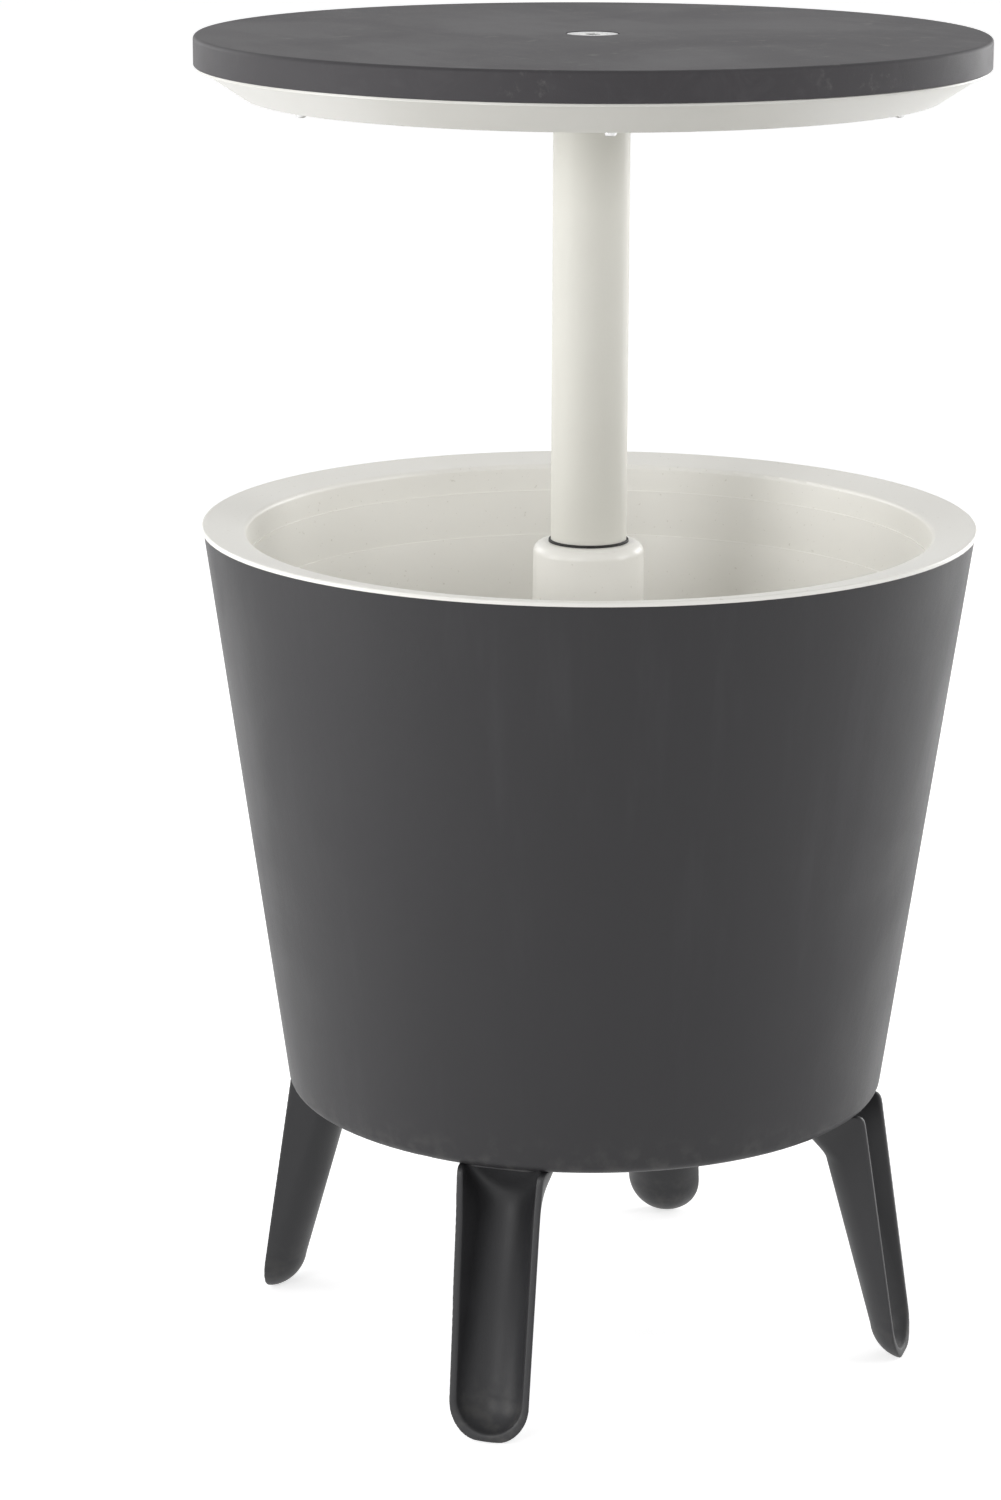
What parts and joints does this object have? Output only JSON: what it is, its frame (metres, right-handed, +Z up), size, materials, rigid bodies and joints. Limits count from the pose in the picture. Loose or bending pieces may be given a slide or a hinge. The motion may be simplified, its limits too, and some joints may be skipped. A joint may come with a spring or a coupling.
{
  "type": "cooler table",
  "caption": "Round patio table on an insulated drinks cooler: the table is the lid and rises on a central post that twists to lock; scooped legs, drain plug below.",
  "frame": {"origin": "on the floor, on the bucket's axis", "axes": "+Z up; -Y front, +X right; the legs stand on the diagonals"},
  "size_m": [0.492, 0.492, 0.8451],
  "materials": {
    "shell_plastic": "fine satin grain",
    "liner_plastic": "satin",
    "table_plastic": "matte, finely streaked",
    "tray_plastic": "satin",
    "post_paint": "smooth off-white paint",
    "leg_plastic": "matte",
    "bolt_plastic": "smooth",
    "seal_rubber": "matte",
    "guide_plastic": "plain moulded",
    "screw_steel": "zinc plated"
  },
  "bodies": {
    "cooler": {"outer_shell": "shell_plastic", "inner_liner": "liner_plastic", "guide_sleeve": "guide_plastic", "sleeve_screws": "screw_steel", "base_cap": "shell_plastic", "leg_front_left": "leg_plastic", "leg_front_right": "leg_plastic", "leg_back_right": "leg_plastic", "leg_back_left": "leg_plastic"},
    "seal_ring": {"post_seal": "seal_rubber"},
    "table": {"post_tube": "post_paint", "post_head": "guide_plastic", "bolt_nut": "screw_steel", "post_foot": "guide_plastic", "table_top": "table_plastic", "lid_tray": "tray_plastic", "tray_screws": "screw_steel", "table_bolt": "bolt_plastic"},
    "drain": {"drain_plug": "shell_plastic", "drain_seal": "seal_rubber"}
  },
  "joints": [
    {"name": "table_twist", "type": "hinge", "parent": "cooler", "child": "seal_ring", "pos_m": [0, 0, 0.5264], "axis": [0, 0, -1], "range_deg": [0, 90]},
    {"name": "table_lift", "type": "slide", "parent": "seal_ring", "child": "table", "axis": [0, 0, 1], "range_m": [-0.273, 0]},
    {"name": "drain_pull", "type": "slide", "parent": "cooler", "child": "drain", "axis": [0, 0, -1], "range_m": [0, 0.045]}
  ]
}
